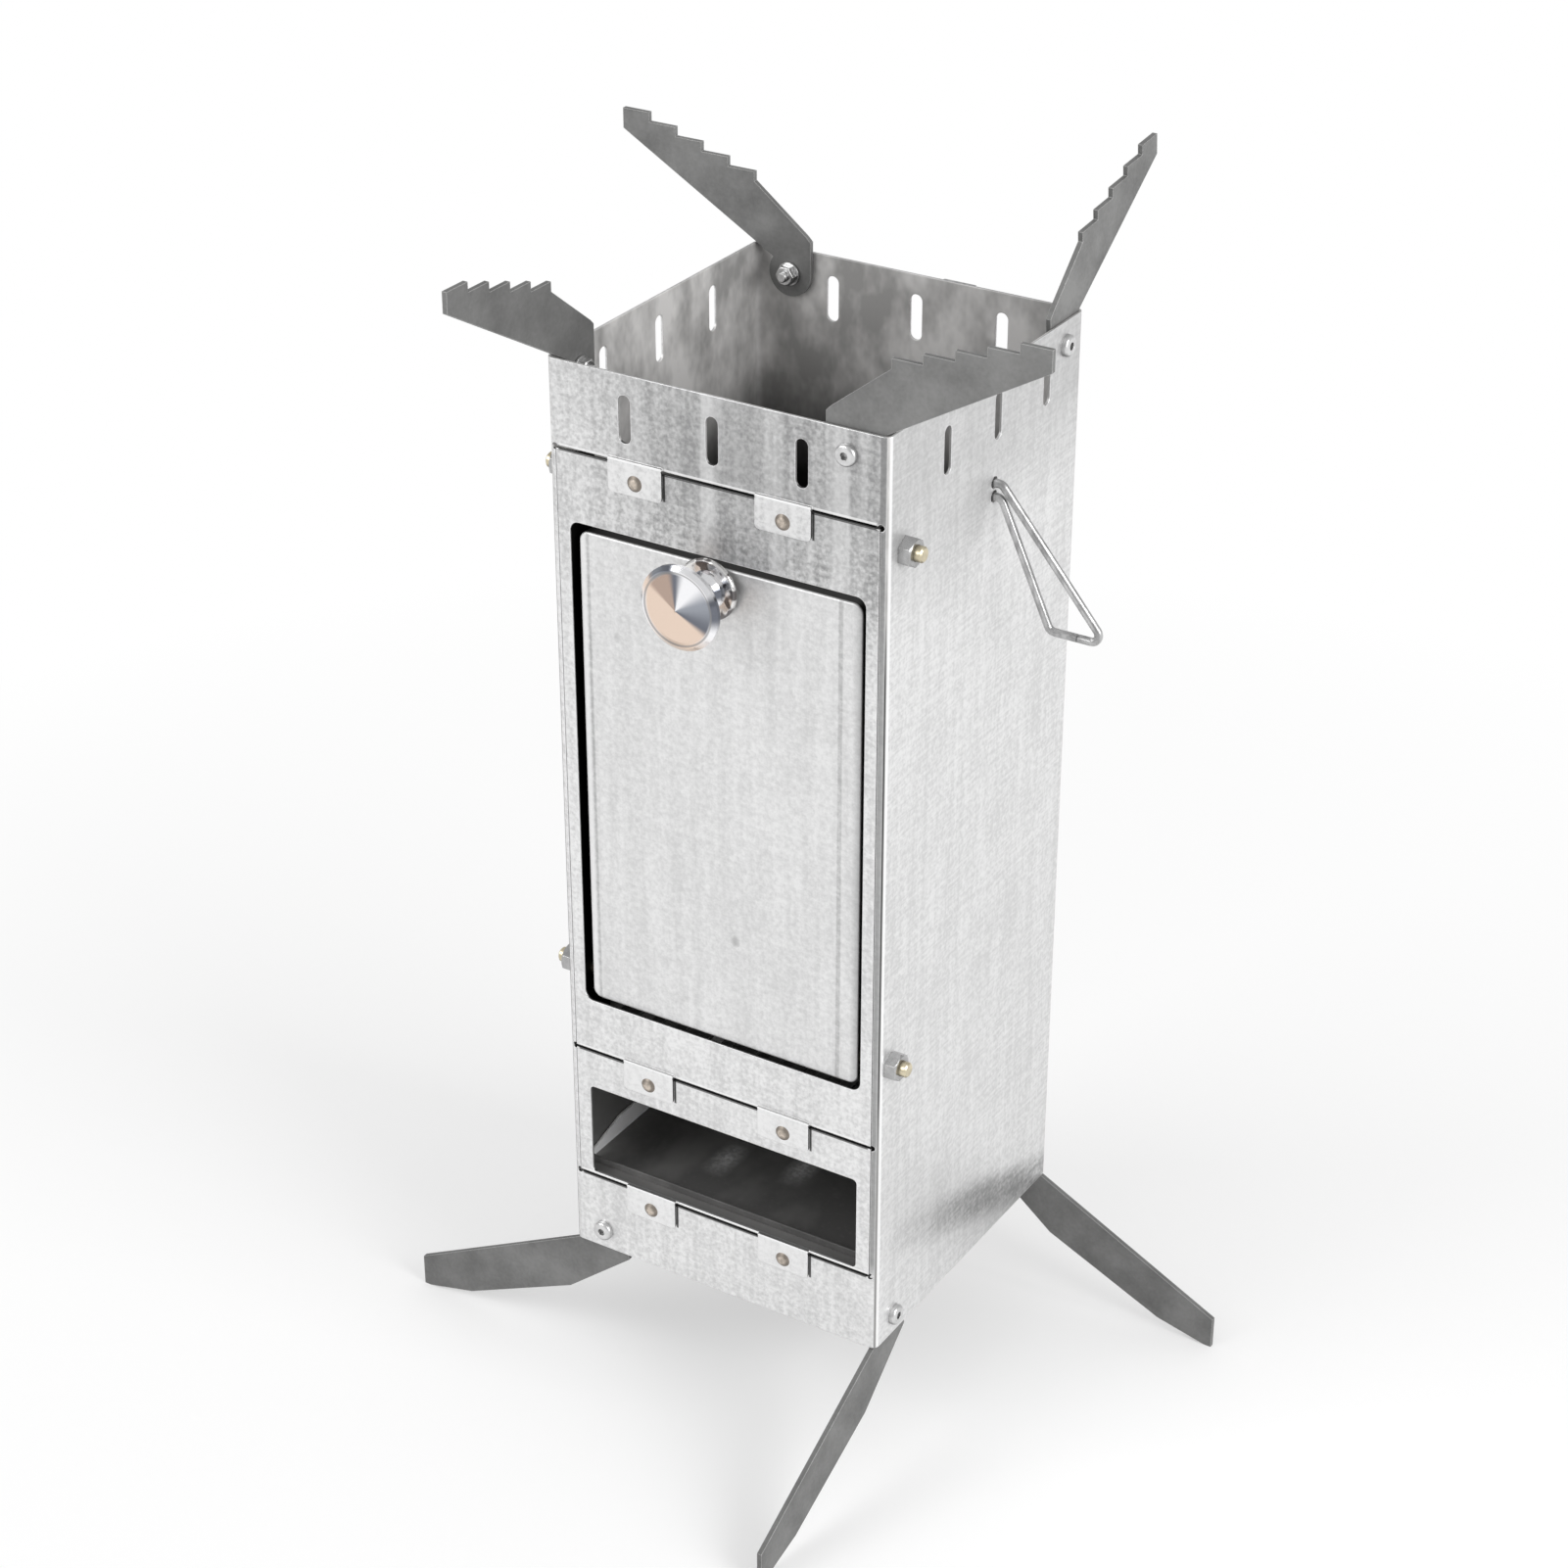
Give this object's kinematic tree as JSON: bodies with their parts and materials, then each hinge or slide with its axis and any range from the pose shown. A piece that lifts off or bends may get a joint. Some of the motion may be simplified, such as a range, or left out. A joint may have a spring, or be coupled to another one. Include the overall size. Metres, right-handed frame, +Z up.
{
  "type": "folding rocket stove",
  "caption": "Square upright sheet steel rocket stove with a hinged feed door, an air inlet window, wire carrying bails and folding pot supports and legs.",
  "frame": {"origin": "on the floor under the middle of the square body, with the legs unfolded", "axes": "+Z up, -Y towards the front wall that carries the feed door, +X to the right as seen from behind the stove looking along +Y"},
  "size_m": [0.306, 0.306, 0.4936],
  "materials": {
    "galvanised_sheet": "galvanised sheet, satin with faint upright streaks",
    "dark_plate": "matt grey plate, faintly blotched",
    "scaled_steel": "heat-darkened matt steel",
    "rivet_brass": "dull brass, domed heads",
    "zinc_screw": "bright zinc plate",
    "yellow_zinc": "yellow passivated zinc plate",
    "polished_chrome": "mirror polish"
  },
  "bodies": {
    "stove_body": {"body_shell": "galvanised_sheet", "door_frame": "galvanised_sheet", "air_inlet_panel": "galvanised_sheet", "floor_tray": "galvanised_sheet", "fuel_grate": "scaled_steel", "front_rivets": "rivet_brass", "seam_rivets": "rivet_brass", "frame_screws": "yellow_zinc", "hinge_screws": "yellow_zinc", "side_bushes": "zinc_screw", "side_nuts": "zinc_screw", "support_screws": "zinc_screw", "support_washers": "zinc_screw", "support_nuts": "zinc_screw", "leg_screws": "zinc_screw", "leg_washers": "zinc_screw", "leg_nuts": "zinc_screw"},
    "door": {"feed_door": "galvanised_sheet", "door_knob": "polished_chrome", "knob_rosette": "polished_chrome", "knob_screw": "zinc_screw"},
    "support_front": {"pot_support_front": "dark_plate"},
    "leg_front_body": {"leg_front": "dark_plate"},
    "support_right": {"pot_support_right": "dark_plate"},
    "leg_right_body": {"leg_right": "dark_plate"},
    "support_back": {"pot_support_back": "dark_plate"},
    "leg_back_body": {"leg_back": "dark_plate"},
    "support_left": {"pot_support_left": "dark_plate"},
    "leg_left_body": {"leg_left": "dark_plate"},
    "bail_right_body": {"bail_right": "zinc_screw"},
    "bail_left_body": {"bail_left": "zinc_screw"}
  },
  "joints": [
    {"name": "door_hinge", "type": "hinge", "parent": "stove_body", "child": "door", "pos_m": [0, -0.063, 0.18651], "axis": [1, 0, 0], "range_deg": [0, 90]},
    {"name": "support_front_hinge", "type": "hinge", "parent": "stove_body", "child": "support_front", "pos_m": [0.0543, -0.0687, 0.43331], "axis": [0, -1, 0], "range_deg": [0, 150.1]},
    {"name": "leg_front_hinge", "type": "hinge", "parent": "stove_body", "child": "leg_front_body", "pos_m": [-0.0569, -0.0687, 0.06601], "axis": [0, -1, 0], "range_deg": [0, 152.7]},
    {"name": "support_right_hinge", "type": "hinge", "parent": "stove_body", "child": "support_right", "pos_m": [0.0687, 0.0573, 0.43331], "axis": [1, 0, 0], "range_deg": [0, 144.3]},
    {"name": "leg_right_hinge", "type": "hinge", "parent": "stove_body", "child": "leg_right_body", "pos_m": [0.0687, -0.0569, 0.06601], "axis": [1, 0, 0], "range_deg": [0, 152.7]},
    {"name": "support_back_hinge", "type": "hinge", "parent": "stove_body", "child": "support_back", "pos_m": [-0.0543, 0.0687, 0.43331], "axis": [0, 1, 0], "range_deg": [0, 150.1]},
    {"name": "leg_back_hinge", "type": "hinge", "parent": "stove_body", "child": "leg_back_body", "pos_m": [0.0569, 0.0687, 0.06601], "axis": [0, 1, 0], "range_deg": [0, 152.7]},
    {"name": "support_left_hinge", "type": "hinge", "parent": "stove_body", "child": "support_left", "pos_m": [-0.0687, -0.0543, 0.43331], "axis": [-1, 0, 0], "range_deg": [0, 150.1]},
    {"name": "leg_left_hinge", "type": "hinge", "parent": "stove_body", "child": "leg_left_body", "pos_m": [-0.0687, 0.0569, 0.06601], "axis": [-1, 0, 0], "range_deg": [0, 152.7]},
    {"name": "bail_right_swing", "type": "hinge", "parent": "stove_body", "child": "bail_right_body", "pos_m": [0.0705, 0.005, 0.39551], "axis": [0, 0, 1], "range_deg": [-30, 30]},
    {"name": "bail_left_swing", "type": "hinge", "parent": "stove_body", "child": "bail_left_body", "pos_m": [-0.0705, 0.005, 0.39551], "axis": [0, 0, 1], "range_deg": [-30, 30]}
  ]
}
